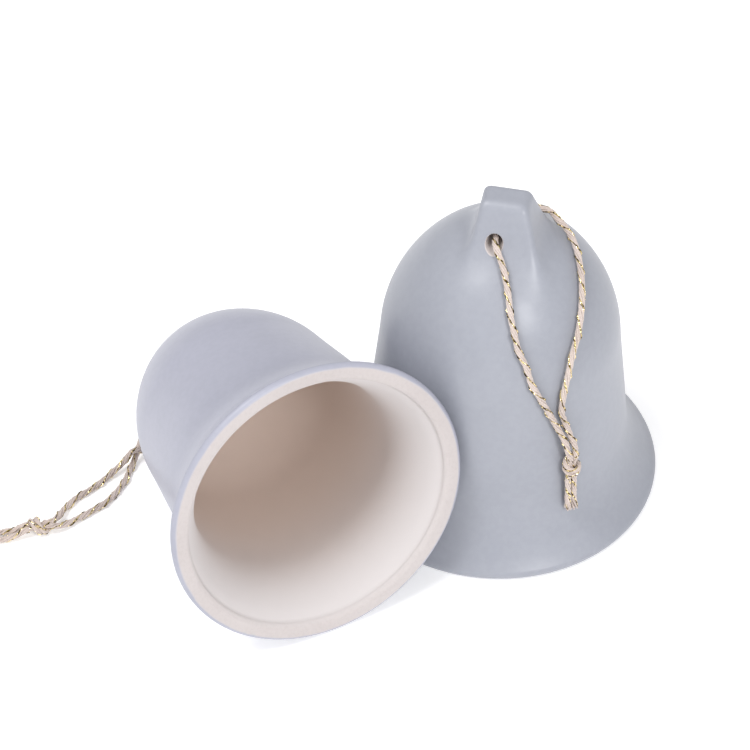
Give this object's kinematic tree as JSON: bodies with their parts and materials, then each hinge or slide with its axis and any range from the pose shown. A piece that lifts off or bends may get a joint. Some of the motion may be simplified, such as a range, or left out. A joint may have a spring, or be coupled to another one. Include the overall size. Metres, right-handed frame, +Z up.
{
  "type": "christmas bell ornament",
  "caption": "Glazed ceramic bell ornaments with flared rims and pierced lugs, on loops of twisted cord, one standing on its rim and one lying beside it.",
  "frame": {"origin": "centre of the standing bell's rim, on the surface that it stands on", "axes": "+Z up along the standing bell's axis, +Y along the hole through its lug; the lying bell is beside it, towards -X and -Y"},
  "size_m": [0.1531, 0.1165, 0.0869],
  "materials": {
    "glazed_clay": "satin blue-grey glaze outside, bare cream clay inside and on the rim's face",
    "twisted_cord": "twisted cream cotton with one metallic gold thread"
  },
  "bodies": {
    "standing_bell": {"standing_shell": "glazed_clay"},
    "standing_loop": {"standing_cord": "twisted_cord", "standing_knot": "twisted_cord", "standing_first_tail": "twisted_cord", "standing_second_tail": "twisted_cord"},
    "lying_bell": {"lying_shell": "glazed_clay"},
    "lying_loop": {"lying_cord": "twisted_cord", "lying_knot": "twisted_cord", "lying_first_tail": "twisted_cord", "lying_second_tail": "twisted_cord"}
  },
  "joints": [
    {"name": "standing_loop_swing", "type": "hinge", "parent": "standing_bell", "child": "standing_loop", "pos_m": [-0.0011, 0, 0.0785], "axis": [0, -1, 0], "range_deg": [0, 155]},
    {"name": "lying_bell_tip", "type": "hinge", "parent": "standing_bell", "child": "lying_bell", "pos_m": [-0.02679, -0.05979, 0], "axis": [0.7826, 0.6225, 0], "range_deg": [0, 103.2]},
    {"name": "lying_loop_swing", "type": "hinge", "parent": "lying_bell", "child": "lying_loop", "pos_m": [-0.0741, 0.00118, 0.01917], "axis": [0.4483, 0.0898, -0.8894], "range_deg": [0, 107]}
  ]
}
